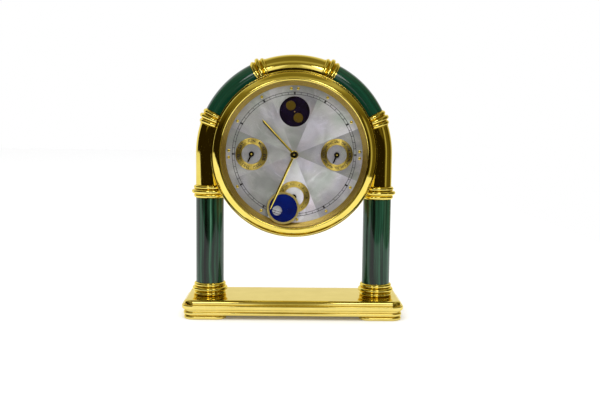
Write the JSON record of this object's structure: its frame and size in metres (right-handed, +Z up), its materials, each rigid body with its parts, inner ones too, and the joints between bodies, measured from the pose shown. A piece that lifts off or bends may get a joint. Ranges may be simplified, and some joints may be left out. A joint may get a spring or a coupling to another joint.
{
  "type": "desk clock with calendar",
  "caption": "Arched portico table clock in gilt brass and malachite, with a pearl dial, small calendar dials and a moon window.",
  "frame": {"origin": "centre of the footprint on the surface the clock stands on", "axes": "+X to the right of someone reading the dial, +Y away from them, +Z up"},
  "size_m": [0.1562, 0.0516, 0.1856],
  "materials": {
    "gilt_brass": "polished gilt",
    "satin_gilt": "satin gilt",
    "engraved_gilt": "engraved gilt",
    "malachite": "polished banded malachite",
    "mother_of_pearl": "polished pearl shell",
    "dial_brass": "brushed",
    "plain_brass": "machined",
    "steel": "zinc plated",
    "gilt_screw": "gilt screw heads",
    "mineral_glass": "clear flat mineral glass",
    "gilt_hand": "faceted gilt",
    "blackened_hand": "blackened with gilt edge",
    "night_enamel": "dark blue-black enamel",
    "moon_gilt": "dull gilt",
    "lapis_blue": "polished deep blue",
    "moulded_black": "moulded",
    "corrector_brass": "turned",
    "copper_winding": "enamelled copper winding",
    "board_green": "solder mask",
    "battery_sleeve": "printed sleeve without text"
  },
  "bodies": {
    "stand": {"base_plate": "gilt_brass", "foot_left": "gilt_brass", "foot_right": "gilt_brass", "base_collar_left": "gilt_brass", "base_collar_right": "gilt_brass", "column_left": "malachite", "column_right": "malachite", "capital_left": "gilt_brass", "capital_right": "gilt_brass", "arch_leg_left": "gilt_brass", "arch_leg_right": "gilt_brass", "arch_stone_left": "malachite", "arch_stone_right": "malachite", "arch_crown": "gilt_brass", "tie_lower_left": "gilt_brass", "tie_lower_right": "gilt_brass", "tie_upper_left": "gilt_brass", "tie_upper_right": "gilt_brass", "arch_core": "plain_brass", "column_screws": "steel", "mounting_studs": "plain_brass", "case_drum": "gilt_brass", "bezel": "gilt_brass", "inner_ring": "satin_gilt", "crystal": "mineral_glass", "case_back": "gilt_brass", "back_screws": "gilt_screw", "dial_plate": "dial_brass", "dial_pearl": "mother_of_pearl", "hour_markers": "gilt_brass", "day_ring": "engraved_gilt", "month_ring": "engraved_gilt", "date_ring": "engraved_gilt", "moon_cover_ring": "gilt_brass", "moon_cover_disc": "lapis_blue", "movement_plate": "plain_brass", "movement_housing": "moulded_black", "motor_coil": "copper_winding", "circuit_board": "board_green", "battery": "battery_sleeve"},
    "minute": {"minute_hand": "gilt_hand", "hand_cap": "gilt_hand", "minute_arbor": "plain_brass"},
    "hour": {"hour_hand": "gilt_hand", "hour_wheel": "plain_brass"},
    "setting": {"setting_knob": "moulded_black", "intermediate_wheel": "plain_brass"},
    "day": {"day_hand": "blackened_hand", "day_wheel": "plain_brass"},
    "date": {"date_hand": "blackened_hand", "date_wheel": "plain_brass"},
    "month": {"month_hand": "blackened_hand", "month_wheel": "plain_brass"},
    "moon": {"moon_disc": "night_enamel", "moon_inlays": "moon_gilt"},
    "hatch": {"battery_hatch": "moulded_black"},
    "day_corrector": {"corrector_day": "corrector_brass"},
    "date_corrector": {"corrector_date": "corrector_brass"},
    "moon_corrector": {"corrector_moon": "corrector_brass"},
    "month_corrector": {"corrector_month": "corrector_brass"}
  },
  "joints": [
    {"name": "minute_turn", "type": "hinge", "parent": "stand", "child": "minute", "pos_m": [0, 0, 0.1155], "axis": [0, 1, 0], "continuous": true},
    {"name": "hour_turn", "type": "hinge", "parent": "stand", "child": "hour", "pos_m": [0, 0, 0.1155], "axis": [0, 1, 0], "continuous": true},
    {"name": "setting_turn", "type": "hinge", "parent": "stand", "child": "setting", "pos_m": [0.00848, 0, 0.12398], "axis": [0, 1, 0], "continuous": true},
    {"name": "day_turn", "type": "hinge", "parent": "stand", "child": "day", "pos_m": [-0.03, 0, 0.1155], "axis": [0, 1, 0], "continuous": true},
    {"name": "date_turn", "type": "hinge", "parent": "stand", "child": "date", "pos_m": [0, 0, 0.0855], "axis": [0, 1, 0], "continuous": true},
    {"name": "month_turn", "type": "hinge", "parent": "stand", "child": "month", "pos_m": [0.03, 0, 0.1155], "axis": [0, 1, 0], "continuous": true},
    {"name": "moon_turn", "type": "hinge", "parent": "stand", "child": "moon", "pos_m": [0, 0, 0.1455], "axis": [0, 1, 0], "continuous": true},
    {"name": "hatch_pull", "type": "slide", "parent": "stand", "child": "hatch", "axis": [0, 1, 0], "range_m": [0, 0.012]},
    {"name": "day_press", "type": "slide", "parent": "stand", "child": "day_corrector", "axis": [0, -1, 0], "range_m": [0, 0.001], "stiffness_N_per_m": 400},
    {"name": "date_press", "type": "slide", "parent": "stand", "child": "date_corrector", "axis": [0, -1, 0], "range_m": [0, 0.001], "stiffness_N_per_m": 400},
    {"name": "moon_press", "type": "slide", "parent": "stand", "child": "moon_corrector", "axis": [0, -1, 0], "range_m": [0, 0.001], "stiffness_N_per_m": 400},
    {"name": "month_press", "type": "slide", "parent": "stand", "child": "month_corrector", "axis": [0, -1, 0], "range_m": [0, 0.001], "stiffness_N_per_m": 400}
  ],
  "couplings": [
    {"joint": "hour_turn", "follows": "minute_turn", "ratio": 0.083333},
    {"joint": "setting_turn", "follows": "minute_turn", "ratio": -0.33333},
    {"joint": "day_turn", "follows": "minute_turn", "ratio": 0.0059524},
    {"joint": "date_turn", "follows": "minute_turn", "ratio": 0.0013441},
    {"joint": "month_turn", "follows": "minute_turn", "ratio": 0.00011201},
    {"joint": "moon_turn", "follows": "minute_turn", "ratio": 0.00070621}
  ]
}
